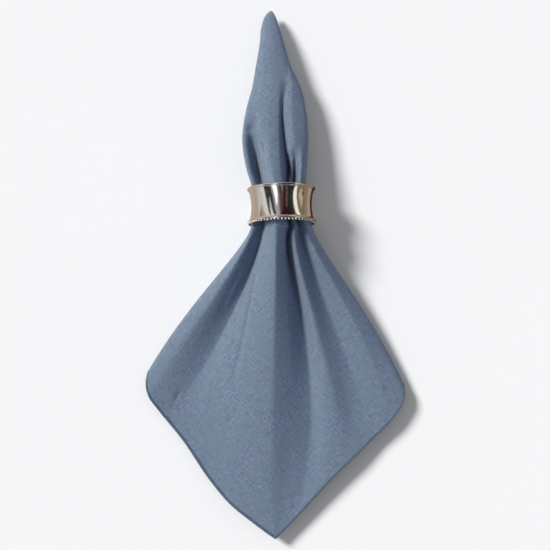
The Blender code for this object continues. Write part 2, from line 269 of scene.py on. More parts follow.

# Glowing cards round the ring that only its gloss sees: painted reflections of a room, its lamps, walls,
# flags and beams. Their angles are from straight up towards +X, in degrees, at the ring's middle. They reach
# from low to high along the napkin, and lean, widen and bow on the way. Each stands a little nearer than the
# one before
Card = namedtuple("Card", "name start end low high colour strength lean flare bow", defaults=(0.0, 0.0, 0.0))
CARDS = (
    Card("left wall", -112.0, -46.0, -2.2, 2.2, "#C6C8C3", 0.98),
    Card("low left wall", -79.0, -91.0, 0.1, 1.3, "#A79C8E", 1.0, 6.0, 30.0),
    Card("left post", -92.0, -87.0, 0.45, 1.0, "#7E5C50", 0.9),
    Card("left door", -82.0, -80.0, 0.3, 1.0, "#7E5C50", 0.9),
    Card("left lamp", -73.0, -62.0, -2.2, 2.2, "#DDDAD8", 1.0, 14.0),
    Card("grey flag", -59.0, -32.0, -2.2, 2.2, "#39393B", 0.9, 14.0),
    Card("thin lamp", -45.8, -44.2, 0.02, 2.2, "#DDDBD8", 1.0, 9.7, 5.5),
    Card("overhead edge", -29.0, -11.0, -2.2, 2.2, "#A6A3AA", 1.0, 8.0),
    Card("overhead rim lamp", -36.0, -14.0, -2.2, -0.62, "#FFFFFF", 1.5),
    Card("overhead lamp", -24.0, -14.5, -0.62, 0.36, "#FFFFFF", 1.4, 4.0, -11.0),
    Card("grey ceiling", -13.0, -4.0, -2.2, 2.2, "#7A6F6E", 1.0, 7.0),
    Card("brown ceiling", -8.0, 5.0, -2.2, 2.2, "#553F3B", 1.0, 5.0),
    Card("red beam", 4.6, 17.0, -2.2, 2.2, "#3E211B", 0.9),
    Card("green flag", 17.0, 60.0, -2.2, 2.2, "#2B2D29", 0.9),
    Card("beam's foot", 36.0, 12.0, 0.25, 1.05, "#33190F", 0.9, 0.0, 48.0),
    Card("thin line", 18.6, 21.0, -0.6, 0.45, "#7C7868", 1.0),
    Card("olive wall", 52.0, 114.0, -2.2, 2.2, "#7A6E5B", 1.0),
    Card("tan shade", 65.0, 89.0, -0.28, 0.0, "#BBAB94", 1.0, 8.0, 40.0),
    Card("low tan shade", 65.0, 89.0, 0.0, 0.42, "#BBAB94", 1.0, 8.0, -28.0),
    Card("tan shade's knob", 81.0, 89.0, -0.1, 0.03, "#46301F", 0.9),
    Card("cream lamp", 44.0, 57.0, -0.62, 1.0, "#F6F3E0", 1.05, 1.6, 3.0, 29.0),
)
CARD_AWAY = 650.0
CARD_STEP = 2.0
CARD_REACH = 500.0
CARD_ROWS = 25
CARD_COLUMNS = 17

# Directions and spreads, in degrees, of the lights, and how far the table reaches, in metres
Lamp = namedtuple("Lamp", "name setting towards spread colour")
LAMPS = (
    Lamp("window_light", "key", (-1.10, 0.69, 1.0), 16.0, "#FFFCF7"),
    Lamp("sky_fill", "blue_fill", (0.5, -0.2, 1.0), 100.0, "#5F8FFF"),
)
WORLD_COLOUR = "#FFFDFA"
TABLE_REACH = 12.0

# Glowing strips just over the table on each side of the ring, by their distance from its axis, that only the
# ring's gloss sees: a painted reflection of the table. The dark strips nearest the ring are painted shade
Strip = namedtuple("Strip", "name side near far colour strength")
STRIPS = (
    # painted shade where the ring's left side meets the table, as its gloss sees it
    Strip("left foot", -1, 19.0, 23.0, "#8A7468", 0.9),
    Strip("left table", -1, 23.0, 70.0, "#BCA99C", 1.0),
    Strip("left middle", -1, 70.0, 190.0, "#B4A29C", 1.0),
    Strip("left far", -1, 190.0, 640.0, "#BDBFB8", 1.0),
    # painted shadow that the ring casts on the table to its right, as its gloss sees it
    Strip("right foot", 1, 19.0, 46.0, "#4E3527", 0.8),
    Strip("right table", 1, 46.0, 92.0, "#A89684", 1.0),
    Strip("right middle", 1, 92.0, 170.0, "#8E7F6E", 1.0),
    Strip("right far", 1, 170.0, 640.0, "#8A7C68", 0.9),
)
STRIP_HEIGHT = 0.4
STRIP_REACH = 450.0


def linear(hex_colour):
    """The linear colour, with alpha, of an sRGB hex value."""
    channels = [int(hex_colour[place : place + 2], 16) / 255 for place in (1, 3, 5)]
    return tuple(c / 12.92 if c <= 0.04045 else ((c + 0.055) / 1.055) ** 2.4 for c in channels) + (1.0,)


# What a user would change


class NapkinSettings(bpy.types.PropertyGroup):
    """Sizes and colours of the cloth."""

    thickness: FloatProperty(
        name="Cloth thickness", description="Thickness of the visible cloth", default=2 * HALF_CLOTH * MM,
        min=0.0003, max=0.0012, unit="LENGTH",
    )
    thread_pitch: FloatProperty(
        name="Thread spacing", description="Distance from one thread to the next, as drawn",
        default=0.9 * MM, min=0.0004, max=0.002, unit="LENGTH",
    )
    colour: FloatVectorProperty(
        name="Linen", description="Colour of the dyed linen", default=linear("#68778A")[:3],
        subtype="COLOR", min=0.0, max=1.0,
    )
    # The hem is drawn darker than the linen: painted shade where the rolled edge turns away from the light
    hem_colour: FloatVectorProperty(
        name="Hem", description="Colour of the rolled hem", default=linear("#4B5C70")[:3],
        subtype="COLOR", min=0.0, max=1.0,
    )


class RingSettings(bpy.types.PropertyGroup):
    """Sizes and colour of the napkin ring."""

    beads: IntProperty(
        name="Beads", description="Number of beads round the lower rim", default=58, min=12, max=80,
    )
    colour: FloatVectorProperty(
        name="Silver", description="Colour of the polished silver", default=linear("#EFECE8")[:3],
        subtype="COLOR", min=0.0, max=1.0,
    )
    roughness: FloatProperty(
        name="Roughness", description="How dull the polish is", default=0.09, min=0.0, max=1.0,
        subtype="FACTOR",
    )


class StageSettings(bpy.types.PropertyGroup):
    """The table and the light."""

    key: FloatProperty(
        name="Window light", description="Strength of the window's light", default=3.7, min=0.0,
    )
    fill: FloatProperty(
        name="Fill", description="Strength of the light from all round", default=0.31, min=0.0,
    )
    blue_fill: FloatProperty(
        name="Blue fill", description="Strength of the sky's light on the cloth", default=0.5, min=0.0,
    )
    table_colour: FloatVectorProperty(
        name="Table", description="Colour of the table", default=linear("#F4F7FD")[:3],
        subtype="COLOR", min=0.0, max=1.0,
    )


# Shapes of the cloth


def smooth_curve(knots, values, at, creased=0.0):
    """Values on a smooth curve through the given ones. Creased draws it towards straight runs."""
    steps = np.diff(knots)
    slopes = np.diff(values, axis=0) / steps[:, None]
    tangents = np.concatenate((slopes[:1], slopes[1:], slopes[-1:]))
    before, after = steps[:-1, None], steps[1:, None]
    tangents[1:-1] = (slopes[:-1] * after + slopes[1:] * before) / (before + after)
    span = np.clip(np.searchsorted(knots, at, side="right") - 1, 0, len(steps) - 1)
    t = ((at - knots[span]) / steps[span])[:, None]
    start, end = values[span], values[span + 1]
    leave, arrive = tangents[span] * steps[span][:, None], tangents[span + 1] * steps[span][:, None]
    rise = t * t * (3 - 2 * t)
    curved = start * (1 - rise) + end * rise + leave * t * (1 - t) ** 2 - arrive * t * t * (1 - t)
    straight = start * (1 - t) + end * t
    return curved + (straight - curved) * creased


def bezier(first, second, third, last, t):
    """The value at t on a cubic curve that leaves the first towards the second."""
    rest = 1 - t
    return first * rest**3 + 3 * second * rest**2 * t + 3 * third * rest * t**2 + last * t**3


def smooth_step(t):
    """A rise from 0 to 1 that starts and ends level."""
    t = min(max(t, 0.0), 1.0)
    return t * t * (3 - 2 * t)


def section(along):
    """The cloth's section at this place on the cone or in the ring."""
    rows = np.array(SECTIONS)[::-1]
    return Section(*smooth_curve(rows[:, 0], rows, np.array([along]))[0])


def hem_points(places):
    """Points of the lower hem, from -1 at the left corner, by 0 at the bottom, to 1 at the right one."""
    found = []
    for side, outline in ((-1, HEM_LEFT), (1, HEM_RIGHT)):
        points = np.array(outline)
        lengths = np.linalg.norm(np.diff(points, axis=0), axis=1)
        knots = np.concatenate(([0.0], np.cumsum(lengths))) / lengths.sum()
        found.append(smooth_curve(knots, points, 1 - np.clip(np.multiply(places, side), 0.0, 1.0)))
    return np.where(np.less(places, 0)[:, None], *found)


def flap_points(side, flap, fold, sizes, bottom, flat, free_along):
    """A flap's points behind, on the round of the ring, flattened onto the table as flat goes to 1."""
    half = (sizes.right - sizes.left) / 2
    middle = (sizes.right + sizes.left) / 2
    overlap = min(max((sizes.wrap - LAP_STARTS) / LAP_SPREAD, 0.0), 1.0)
    whole_reach = max(line.in_skirt for line in flap)
    points = []
    for line in flap:
        reach = line.in_ring * sizes.wrap * (1 - flat) + line.in_skirt * flat
        lap = LAP * overlap * (line.ring_lap * (1 - flat) + line.skirt_lap * flat)
        turn = math.pi * reach
        round_x = middle + side * (half - lap) * math.cos(turn)
        round_z = fold[2] - (fold[2] - bottom - lap) * math.sin(turn)
        flat_x = fold[0] - side * 2 * half * reach
        points.append((
            round_x * (1 - flat) + flat_x * flat,
            fold[1] + (free_along - fold[1]) * line.in_skirt / whole_reach,
            round_z * (1 - flat) + (HALF_CLOTH + lap + line.lift) * flat,
        ))
    return points


def neck_guides(along):
    """Points of every fold line at one place on the cone or in the ring."""
    sizes = section(along)
    front = []
    for number, fold in enumerate(FOLDS):
        across = fold.across if number < MIDDLE_VALLEY else 1 - (1 - fold.across) * sizes.right_lobe
        grown = min(max((fold.top - along) / (fold.top - DEEPEST_BELOW), 0.0), 1.0) ** DEEPENING
        round_up = math.sqrt(1 - (2 * across - 1) ** 2)
        height = sizes.middle + sizes.rise * round_up - fold.depth * grown
        front.append((sizes.left + (sizes.right - sizes.left) * across, along, height))
    bottom = sizes.middle - sizes.drop
    left = flap_points(-1, LEFT_FLAP, front[0], sizes, bottom, 0.0, along)
    right = flap_points(1, RIGHT_FLAP, front[-1], sizes, bottom, 0.0, along)
    return np.array(left + front + right)


def fall(start, end, t):
    """How far along the cloth a fold line is between the ring's mouth and the hem."""
    return bezier(start, start - STRAIGHT_RUN, (start + end) / 2, end, t)


def skirt_guides(t):
    """Points of every fold line at one place between the mouth of the ring and the hem."""
    mouth = SECTIONS[-1]
    starts = neck_guides(mouth.along)[len(LEFT_FLAP) : -len(RIGHT_FLAP)]
    ends = hem_points([fold.hem for fold in FOLDS])
    front = []
    for start, end, fold in zip(starts, ends, FOLDS):
        front.append((
            bezier(start[0], start[0] + fold.flare, (start[0] + end[0]) / 2 + fold.bow, end[0], t),
            fall(start[1], end[1], t),
            bezier(start[2], fold.shoulder, fold.skirt, fold.hem_height, t),
        ))
    flat = smooth_step(t / FLAT_FROM)
    sizes = mouth._replace(left=front[0][0], right=front[-1][0])
    bottom = (mouth.middle - mouth.drop) * (1 - flat) + HALF_CLOTH * flat
    left_along, right_along = (fall(mouth.along, corner, t) for corner in TURNED_CORNERS)
    left = flap_points(-1, LEFT_FLAP, front[0], sizes, bottom, flat, left_along)
    right = flap_points(1, RIGHT_FLAP, front[-1], sizes, bottom, flat, right_along)
    return np.array(left + front + right)


def column_places():
    """Where the mesh's columns stand, counted in fold lines from the left free edge."""
    steps = [FLAP_STEPS] * (len(LEFT_FLAP) - 1) + [TURN_STEPS]
    steps += [fold.steps for fold in FOLDS[:-1]]
    steps += [TURN_STEPS] + [FLAP_STEPS] * (len(RIGHT_FLAP) - 1)
    places = [0.0]
    for number, count in enumerate(steps):
        places.extend(number + (step + 1) / count for step in range(count))
    return np.array(places)


def column_knots(guides):
    """The run across the cloth to each fold line, and to each column of the mesh."""
    gaps = np.maximum(np.linalg.norm(np.diff(guides, axis=0), axis=1), SHORTEST_RUN)
    knots = np.concatenate(([0.0], np.cumsum(gaps)))
    places = column_places()
    whole = np.minimum(places.astype(int), len(gaps) - 1)
    return knots, knots[whole] + (places - whole) * gaps[whole]


def cloth_row(guides, creased=0.0):
    """One row of the cloth's mesh, on a curve across its fold lines. Creased sharpens those on top."""
    knots, at = column_knots(guides)
    first = len(LEFT_FLAP) + 1
    last = first + len(FOLDS) - 3
    on_top = (at > knots[first]) & (at < knots[last])
    points = smooth_curve(knots, guides, at, np.where(on_top, creased, 0.0)[:, None])
    points[:, 2] = np.maximum(points[:, 2], HALF_CLOTH)
    return points


def front_columns():
    """Which columns are the front's, with the side folds."""
    places = column_places()
    first = len(LEFT_FLAP)
    return (places >= first) & (places <= first + len(FOLDS) - 1)


def hem_places():
    """Where each column ends on the hem: -1 to 1 along the front, and beyond that on the flaps."""
    places = column_places()
    first = len(LEFT_FLAP)
    last = first + len(FOLDS) - 1
    knots, at = column_knots(skirt_guides(1.0))
    hems = np.array([[fold.hem] for fold in FOLDS])
    front = front_columns()
    found = np.where(
        places < first, -1 - (first - places) * FLAP_HEM_STEP, 1 + (places - last) * FLAP_HEM_STEP,
    )
    found[front] = smooth_curve(knots[first : last + 1], hems, at[front])[:, 0]
    return found


def skirt_rows():
    """The rows from the ring's mouth to the hem, whose last one is drawn out to the hem's outline."""
    shares = np.linspace(0.0, 1.0, SKIRT_ROWS)
    rows = []
    for t in shares:
        creased = NECK_CREASED + (CREASED - NECK_CREASED) * smooth_step(t / FLAT_FROM)
        rows.append(cloth_row(skirt_guides(t), creased))
    front = front_columns()
    shift = hem_points(hem_places()[front]) - rows[-1][front, :2]
    for t, row in zip(shares, rows):
        row[front, :2] += shift * t**HEM_REACH
    return rows


def cloth_rows():
    """The whole cloth as rows of points, from the tip to the hem."""
    tip, mouth = SECTIONS[0].along, SECTIONS[-1].along
    ring_top = RING_Y + RING_LENGTH / 2
    cone = np.linspace(0.0, 1.0, CONE_ROWS, endpoint=False) ** CONE_CROWDING
    rows = [tip + (ring_top - tip) * share for share in cone]
    rows.extend(np.linspace(ring_top, mouth, RING_ROWS, endpoint=False))
    neck = [cloth_row(neck_guides(along), NECK_CREASED) for along in rows]
    return np.array(neck + skirt_rows())


def pressed(grid):
    """The cloth with its small creases and its slight unevenness, on the front alone."""
    front = front_columns()
    points = grid[:, front]
    drop = np.zeros(points.shape[:2])
    t = np.linspace(0.0, 1.0, CREASE_SAMPLES)[:, None]
    for crease in CREASES:
        ends = np.array(crease[1:7]).reshape(3, 2)
        line = ends[0] * (1 - t) ** 2 + ends[1] * 2 * t * (1 - t) + ends[2] * t * t
        away = np.full(drop.shape, np.inf)
        strength = np.zeros(drop.shape)
        for place, share in zip(line, t[:, 0]):
            distance = np.hypot(points[:, :, 0] - place[0], points[:, :, 1] - place[1])
            nearer = distance < away
            strength[nearer] = math.sin(math.pi * min(max(share, CREASE_END), 1 - CREASE_END)) ** 0.5
            away = np.minimum(away, distance)
        drop += crease.depth * strength * np.exp(-((away / crease.width) ** 2))
    uneven = np.array([
        [noise.noise(Vector((x / UNEVEN_ACROSS, y / UNEVEN_ALONG, UNEVEN_PLACE))) for x, y, _ in row]
        for row in points
    ])
    free = np.minimum(np.arange(len(points)) / UNEVEN_FROM_ROW, 1.0)[:, None]
    points[:, :, 2] += UNEVEN_HEIGHT * uneven * free - drop
    grid[:, front] = points
    grid[:, :, 2] = np.maximum(grid[:, :, 2], HALF_CLOTH)
    return grid


def flat_cloth(grid):
    """Where each point is on the cloth laid flat, in millimetres. The flaps are mirrored at the folds."""
    centre = int(np.argmin(np.abs(column_places() - (len(LEFT_FLAP) + MIDDLE_CREST))))
    steps = np.hypot(np.diff(grid[:, :, 0], axis=1), np.diff(grid[:, :, 2], axis=1))
    across = np.concatenate((np.zeros((len(grid), 1)), np.cumsum(steps, axis=1)), axis=1)
    across -= across[:, centre : centre + 1]
    flat = np.stack((across, grid[:, :, 1]), axis=-1)
    front = np.flatnonzero(front_columns())
    for fold, columns in ((front[0], range(front[0])), (front[-1], range(front[-1] + 1, grid.shape[1]))):
        along = np.gradient(grid[:, fold, :2], axis=0)
        along /= np.maximum(np.linalg.norm(along, axis=1), 1e-6)[:, None]
        for column in columns:
            away = grid[:, column, :2] - grid[:, fold, :2]
            flat[:, column] = flat[:, fold] + 2 * (away * along).sum(axis=1)[:, None] * along - away
    return flat


# Meshes


def smooth_piece(name, points, faces, finish):
    """A piece on the napkin's body, from its points, in millimetres, and its faces."""
    mesh = bpy.data.meshes.new(name)
    mesh.from_pydata((np.array(points) * MM).tolist(), [], faces)
    mesh.shade_smooth()
    mesh.materials.append(finish)
    piece = bpy.data.objects.new(name, mesh)
    bpy.context.scene.collection.objects.link(piece)
    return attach(piece, "root")


def sheet_piece(name, rows, flat, finish):
    """A piece made of rows of points, with the place of each on the flat cloth as its UV, in metres."""
    count, columns = rows.shape[:2]
    corners = np.arange(count * columns).reshape(count, columns)
    faces = np.stack((corners[:-1, :-1], corners[1:, :-1], corners[1:, 1:], corners[:-1, 1:]), axis=-1)
    faces = faces.reshape(-1, 4)
    piece = smooth_piece(name, rows.reshape(-1, 3), faces.tolist(), finish)
    layer = piece.data.uv_layers.new(name="Flat cloth")
    layer.data.foreach_set("uv", (flat.reshape(-1, 2)[faces.reshape(-1)] * MM).astype(np.float32).ravel())
    return piece


def loop_faces(rings, around, closed_along):
    """The quads of a tube made of that many rings of points."""
    faces = []
    for ring in range(rings if closed_along else rings - 1):
        following = (ring + 1) % rings
        for point in range(around):
            beside = (point + 1) % around
            faces.append((
                ring * around + point, ring * around + beside,
                following * around + beside, following * around + point,
            ))
    return faces


def hem_frames(grid):
    """The hem's edge points with their directions into the cloth and up from it."""
    edge = grid[-1]
    along = np.gradient(edge, axis=0)
    along /= np.linalg.norm(along, axis=1)[:, None]
    inner = grid[-HEM_INNER_ROW] - edge
    inner -= (inner * along).sum(axis=1)[:, None] * along
    inner /= np.linalg.norm(inner, axis=1)[:, None]
    up = np.cross(inner, along)
    return edge, inner, up


def hem_rings(grid):
    """Rings of points of the rolled hem, with each one's place along the hem and its width."""
    edge, inner, up = hem_frames(grid)
    places = hem_places()
    table = np.array(HEM_WIDTHS)
    sizes = smooth_curve(table[:, 0], table[:, 1:], places, 1.0)
    lengths = np.concatenate(([0.0], np.cumsum(np.linalg.norm(np.diff(edge, axis=0), axis=1))))
    at = np.arange(0.0, lengths[-1], HEM_STEP)
    edge, inner, up, sizes = (
        np.stack([np.interp(at, lengths, column) for column in values.T], axis=1)
        for values in (edge, inner, up, sizes)
    )
    rings = []
    for number in range(len(at)):
        place = Vector((at[number] / HEM_WOBBLE_LENGTH, 0.0, HEM_WOBBLE_PLACE))
        width = sizes[number, 0] * (1 + HEM_WOBBLE * noise.noise(place))
        overhang = sizes[number, 1]
        rings.append([
            edge[number] + inner[number] * (share * width + hang * overhang) + up[number] * height
            for share, hang, height in HEM_OUTLINE
        ])
    rings = np.array(rings)
    rings[:, :, 2] = np.maximum(rings[:, :, 2], LOWEST)
    return rings, at, sizes[:, 0], edge, inner, up


def tube_piece(name, rings, at, finish):
    """A piece made of rings of points, whose UV runs along it and round it, in metres."""
    count, around = rings.shape[:2]
    faces = loop_faces(count, around, False)
    faces.append(tuple(range(around)))
    faces.append(tuple(reversed(range((count - 1) * around, count * around))))
    piece = smooth_piece(name, rings.reshape(-1, 3), faces, finish)
    mesh = piece.data
    layer = mesh.uv_layers.new(name="Flat cloth")
    for loop in mesh.loops:
        ring, point = divmod(loop.vertex_index, around)
        layer.data[loop.index].uv = (at[ring] * MM, point / around * HEM_GIRTH * MM)
    mesh.validate()
    mesh.update()
    return piece


def stitch(middle, along):
    """Points and faces of one stitch, a small rounded rod."""
    side = along.orthogonal().normalized()
    other = along.cross(side)
    points = []
    for ring in range(STITCH_RINGS):
        share = ring / (STITCH_RINGS - 1) * 2 - 1
        wide = STITCH_RADIUS * math.sqrt(max(1 - share**4, STITCH_END))
        for point in range(STITCH_SIDES):
            turn = 2 * math.pi * point / STITCH_SIDES
            out = (side * math.cos(turn) + other * math.sin(turn)) * wide
            points.append(middle + along * (share * STITCH_LENGTH / 2) + out)
    faces = loop_faces(STITCH_RINGS, STITCH_SIDES, False)
    faces.append(tuple(reversed(range(STITCH_SIDES))))
    faces.append(tuple(range((STITCH_RINGS - 1) * STITCH_SIDES, STITCH_RINGS * STITCH_SIDES)))
    return points, faces


def joined(name, parts, finish):
    """One piece of many small shapes, each given as its points and its faces."""
    points, faces = [], []
    for part_points, part_faces in parts:
        faces.extend(tuple(len(points) + corner for corner in face) for face in part_faces)
        points.extend(part_points)
    return smooth_piece(name, points, faces, finish)


def rolled_rim(roll, radius, height, thickness):
    """Points round a roll, as radius and height."""
    angles = np.radians(np.linspace(*roll))
    return [(radius + thickness * math.cos(turn), height + thickness * math.sin(turn)) for turn in angles]


def ring_profile():
    """The ring's wall as radius and height: the upper roll, the inside, the lower lip and the outside."""
    half = RING_LENGTH / 2 - RIM_ROLL
    roll_radius = RIM_RADIUS - RIM_ROLL
    depth = roll_radius - (WAIST_RADIUS - RING_WALL / 2)
    heights = np.linspace(-half, half, WALL_STEPS)
    middle = roll_radius - depth * (1 - (heights / half) ** 2) ** WAIST_FULLNESS
    inner = [(radius - RING_WALL / 2, height) for radius, height in zip(middle, heights)]
    outer = [(radius + RING_WALL / 2, height) for radius, height in zip(middle, heights)]
    upper = rolled_rim(UPPER_ROLL, roll_radius, half, RIM_ROLL)
    lip = rolled_rim(LOWER_ROLL, roll_radius + RING_WALL / 2 - LIP_INSET, LIP_HEIGHT - half, LIP_ROLL)
    return upper + inner[-2:0:-1] + lip + outer[HIDDEN_BY_LIP:-1]


def ring_place():
    """Where the ring's own axis and middle stand."""
    turned = Matrix.Rotation(RING_TURN, 4, "Z") @ Matrix.Rotation(-math.pi / 2, 4, "X")
    return Matrix.Translation(Vector((RING_X, RING_Y, AXIS_HEIGHT)) * MM) @ turned


def bead(middle):
    """Points and faces of a small round bead."""
    points = [middle + Vector((0, 0, BEAD_RADIUS))]
    for ring in range(1, BEAD_RINGS):
        lift = math.pi * ring / BEAD_RINGS
        for side in range(BEAD_SIDES):
            turn = 2 * math.pi * side / BEAD_SIDES
            points.append(middle + BEAD_RADIUS * Vector((
                math.sin(lift) * math.cos(turn), math.sin(lift) * math.sin(turn), math.cos(lift),
            )))
    points.append(middle - Vector((0, 0, BEAD_RADIUS)))
    last_row = 1 + (BEAD_RINGS - 2) * BEAD_SIDES
    faces = []
    for side in range(BEAD_SIDES):
        beside = (side + 1) % BEAD_SIDES
        faces.append((0, 1 + side, 1 + beside))
        for row in range(1, last_row, BEAD_SIDES):
            below = row + BEAD_SIDES
            faces.append((row + side, below + side, below + beside, row + beside))
        faces.append((last_row + side, len(points) - 1, last_row + beside))
    return points, faces


# Materials


def add_node(tree, kind, settings=(), inputs=(), output=0):
    """Adds a node with its settings, and its inputs set to values or linked. Returns one of its outputs."""
    node = tree.nodes.new(kind)
    for name, value in dict(settings).items():
        setattr(node, name, value)
    for name, value in dict(inputs).items():
        if isinstance(value, bpy.types.NodeSocket):
            tree.links.new(value, node.inputs[name])
        else:
            node.inputs[name].default_value = value
    return node.outputs[output]


def new_material(name, values=()):
    """A new material, its node tree, and its principled shader with these values."""
    made = bpy.data.materials.new(name)
    made.use_nodes = True
    shader = made.node_tree.nodes["Principled BSDF"]
    for socket, value in dict(values).items():
        shader.inputs[socket].default_value = value
    return made, made.node_tree, shader


def dyed_linen(name, colour, pitch, depth):
    """Yarn-dyed plain-weave linen. The eye sees a matt, mottled blue with thick and thin threads running at
    45 degrees to the napkin's length, parallel to its hems, and a faint bloom of fibres where it turns
    away."""
    made, tree, shader = new_material(name, {
        "Roughness": 0.88, "Specular IOR Level": 0.25, "Sheen Weight": 0.12, "Sheen Roughness": 0.6,
    })
    flat = add_node(tree, "ShaderNodeTexCoord", output="UV")
    place = add_node(tree, "ShaderNodeMapping", inputs={
        "Vector": flat, "Rotation": (0.0, 0.0, math.radians(45.0)),
    })
    # Real linen of this weight has about 20 threads a centimetre. That is finer than the picture's pixels,
    # so they are drawn about twice as coarse.
    threads = []
    for direction in ("X", "Y"):
        threads.append(add_node(tree, "ShaderNodeTexWave", {"bands_direction": direction}, {
            "Vector": place, "Scale": math.pi / 10 / pitch, "Distortion": 1.6, "Detail": 1.0,
            "Detail Scale": 1.4,
        }, "Fac"))
    over = add_node(tree, "ShaderNodeMath", {"operation": "MULTIPLY"}, enumerate(threads))
    slubs = []
    for stretch in ((170.0, 760.0, 1.0), (760.0, 170.0, 1.0)):
        long_way = add_node(tree, "ShaderNodeMapping", inputs={"Vector": place, "Scale": stretch})
        slubs.append(add_node(tree, "ShaderNodeTexNoise", inputs={
            "Vector": long_way, "Scale": 1.0, "Detail": 2.0, "Roughness": 0.6,
        }))
    slub = add_node(tree, "ShaderNodeMath", {"operation": "ADD"}, enumerate(slubs))
    mottle = add_node(tree, "ShaderNodeTexNoise", inputs={
        "Vector": place, "Scale": 620.0, "Detail": 2.0, "Roughness": 0.7,
    })
    uneven = add_node(tree, "ShaderNodeMath", {"operation": "ADD"}, {0: slub, 1: mottle})
    tone = add_node(tree, "ShaderNodeMapRange", inputs={"Value": uneven, "From Min": 1.2, "From Max": 1.8})
    dark = [channel * 0.78 for channel in colour]
    light = [min(channel * 1.22, 1.0) for channel in colour]
    yarn = add_node(tree, "ShaderNodeMix", {"data_type": "RGBA"}, {
        0: tone, 6: (*dark, 1.0), 7: (*light, 1.0),
    }, 2)
    # Dye takes a little greener and greyer in some patches of a centimetre or two
    patches = add_node(tree, "ShaderNodeTexNoise", inputs={
        "Vector": place, "Scale": 60.0, "Detail": 3.0, "Roughness": 0.6,
    })
    greener = (colour[0] * 0.97, colour[1] * 1.03, colour[2] * 0.93, 1.0)
    patch_share = add_node(tree, "ShaderNodeMapRange", inputs={
        "Value": patches, "From Min": 0.42, "From Max": 0.62, "To Max": 0.55,
    })
    dyed = add_node(tree, "ShaderNodeMix", {"data_type": "RGBA"}, {0: patch_share, 6: yarn, 7: greener}, 2)
    height = add_node(tree, "ShaderNodeMath", {"operation": "MULTIPLY_ADD"}, {0: over, 1: 0.6, 2: uneven})
    bump = add_node(tree, "ShaderNodeBump", inputs={
        "Height": height, "Strength": depth, "Distance": 0.12 * MM,
    })
    tree.links.new(dyed, shader.inputs["Base Color"])
    tree.links.new(bump, shader.inputs["Normal"])
    return made


def sewing_thread(name, colour):
    """Twisted cotton sewing thread. The eye sees a short, dark cord with slanting plies; its darkness is
    partly the thread's own colour and partly painted shade of the gap beside the hem.
    """
    made, tree, shader = new_material(name, {"Roughness": 0.7})
    plies = add_node(tree, "ShaderNodeTexWave", {"bands_direction": "DIAGONAL"}, {
        "Vector": add_node(tree, "ShaderNodeTexCoord", output="Object"), "Scale": 900.0, "Distortion": 0.5,
    }, "Fac")
    tint = add_node(tree, "ShaderNodeMix", {"data_type": "RGBA"}, {
        0: plies, 6: (*[channel * 0.6 for channel in colour], 1.0), 7: (*colour, 1.0),
    }, 2)
    tree.links.new(tint, shader.inputs["Base Color"])
    return made


def polished_silver(name, colour, roughness):
    """Silver plate, turned on a former and buffed. The eye sees a mirror with a warm cast, hair-fine marks
    round the ring from wiping, and a thin brown tarnish that stays where the cloth doesn't rub."""
    made, tree, shader = new_material(name, {"Metallic": 1.0})
    place = add_node(tree, "ShaderNodeTexCoord", output="Object")
    # Wiping marks are a few hundredths of a millimetre apart. They are drawn about 0.3 mm apart.
    round_marks = add_node(tree, "ShaderNodeMapping", inputs={"Vector": place, "Scale": (40.0, 40.0, 3000.0)})
    wiping = add_node(tree, "ShaderNodeTexNoise", inputs={
        "Vector": round_marks, "Scale": 1.0, "Detail": 3.0,
    })
    dents = add_node(tree, "ShaderNodeTexNoise", inputs={
        "Vector": place, "Scale": 90.0, "Detail": 1.0,
    })
    height = add_node(tree, "ShaderNodeMath", {"operation": "MULTIPLY_ADD"}, {0: wiping, 1: 0.03, 2: dents})
    bump = add_node(tree, "ShaderNodeBump", inputs={
        "Height": height, "Strength": 0.25, "Distance": 0.25 * MM,
    })
    film = add_node(tree, "ShaderNodeTexNoise", inputs={
        "Vector": place, "Scale": 160.0, "Detail": 4.0, "Roughness": 0.65,
    })
    share = add_node(tree, "ShaderNodeMapRange", inputs={
        "Value": film, "From Min": 0.5, "From Max": 0.75, "To Max": 0.3,
    })
    tarnished = (colour[0] * 0.80, colour[1] * 0.70, colour[2] * 0.58, 1.0)
    tint = add_node(tree, "ShaderNodeMix", {"data_type": "RGBA"}, {
        0: share, 6: (*colour, 1.0), 7: tarnished,
    }, 2)
    dull = add_node(tree, "ShaderNodeMapRange", inputs={
        "Value": film, "From Min": 0.4, "From Max": 0.8, "To Min": roughness, "To Max": roughness * 2,
    })
    tree.links.new(tint, shader.inputs["Base Color"])
    tree.links.new(dull, shader.inputs["Roughness"])
    tree.links.new(bump, shader.inputs["Normal"])
    return made


def matt_table(name, colour):
    """Matt white paper over a table. The eye sees an even, slightly cool white with no gloss."""
    made, tree, shader = new_material(name, {"Roughness": 0.9, "Specular IOR Level": 0.0})
    pulp = add_node(tree, "ShaderNodeTexNoise", inputs={
        "Vector": add_node(tree, "ShaderNodeTexCoord", output="Object"), "Scale": 8.0, "Detail": 2.0,
    })
    tint = add_node(tree, "ShaderNodeMix", {"data_type": "RGBA"}, {
        0: pulp, 6: (*[channel * 0.99 for channel in colour], 1.0), 7: (*colour, 1.0),
    }, 2)
    tree.links.new(tint, shader.inputs["Base Color"])
    return made


def painted_reflection_card(name, colour, strength):
    """A glowing card, light or dark, that paints a reflection in the silver where a photographer would hold a
    card.
    """
    made, tree, shader = new_material(name)
    glow = add_node(tree, "ShaderNodeEmission", inputs={"Color": linear(colour), "Strength": strength})
    output = next(node for node in tree.nodes if node.type == "OUTPUT_MATERIAL")
    tree.links.new(glow, output.inputs["Surface"])
    tree.nodes.remove(shader)
    return made


# Operators


